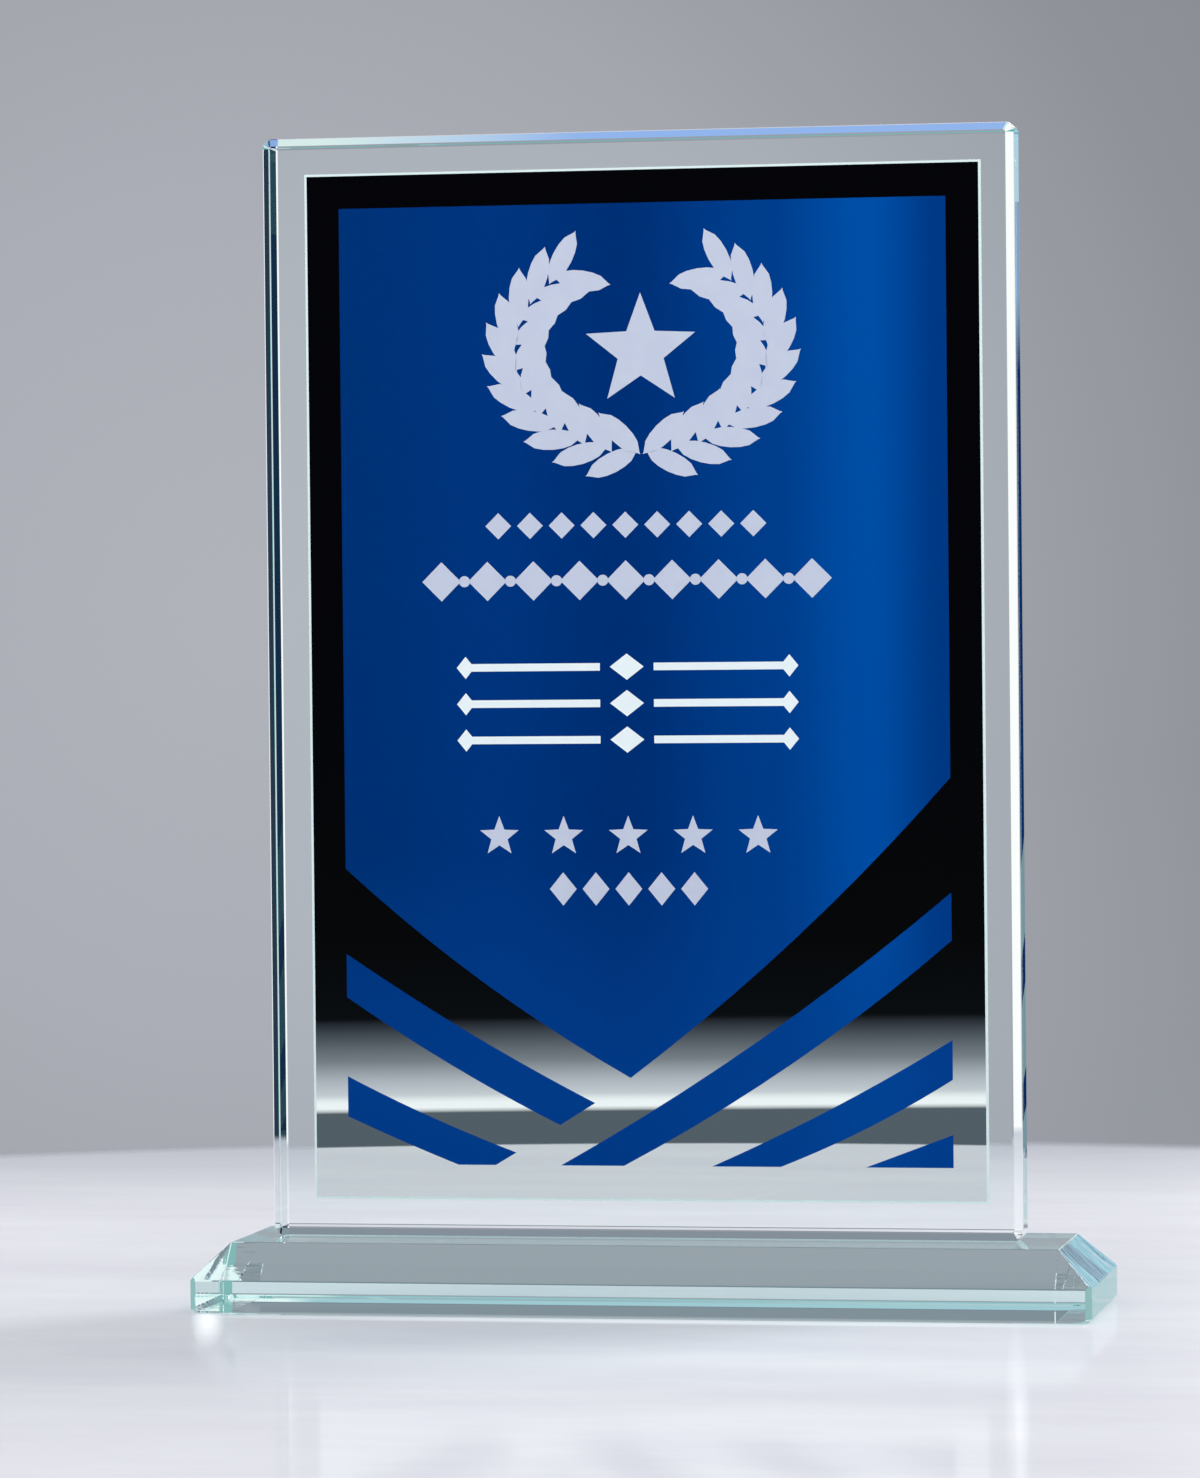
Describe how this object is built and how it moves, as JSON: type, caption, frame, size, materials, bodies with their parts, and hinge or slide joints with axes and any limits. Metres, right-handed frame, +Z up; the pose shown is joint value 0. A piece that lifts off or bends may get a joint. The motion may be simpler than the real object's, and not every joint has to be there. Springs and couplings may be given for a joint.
{
  "type": "glass award",
  "caption": "Clear glass award: an upright bevelled plate bonded to a low bevelled base, with a mirror and blue print behind the glass.",
  "frame": {"origin": "middle of the base's flat underside, on the surface that it stands on", "axes": "+Z up, +X to the reader's right along the base, -Y towards the reader in front"},
  "size_m": [0.178, 0.046, 0.2315],
  "materials": {
    "plate_glass": "float glass, polished, edges ground and polished to a chamfer",
    "base_glass": "float glass with a green edge tint, polished bevels",
    "adhesive": "clear cured adhesive",
    "blue_ink": "even printed ink, seen through the glass",
    "mirror": "silvered film, bright",
    "backing": "matt sheet"
  },
  "bodies": {
    "root": {"base_block": "base_glass", "bond_film": "adhesive", "upright_plate": "plate_glass", "print_panel": "blue_ink", "print_stripe_left_upper": "blue_ink", "print_stripe_left_lower": "blue_ink", "print_stripe_right_long": "blue_ink", "print_stripe_right_middle": "blue_ink", "print_stripe_right_corner": "blue_ink", "mirror_film": "mirror", "backing_sheet": "backing"}
  },
  "joints": []
}
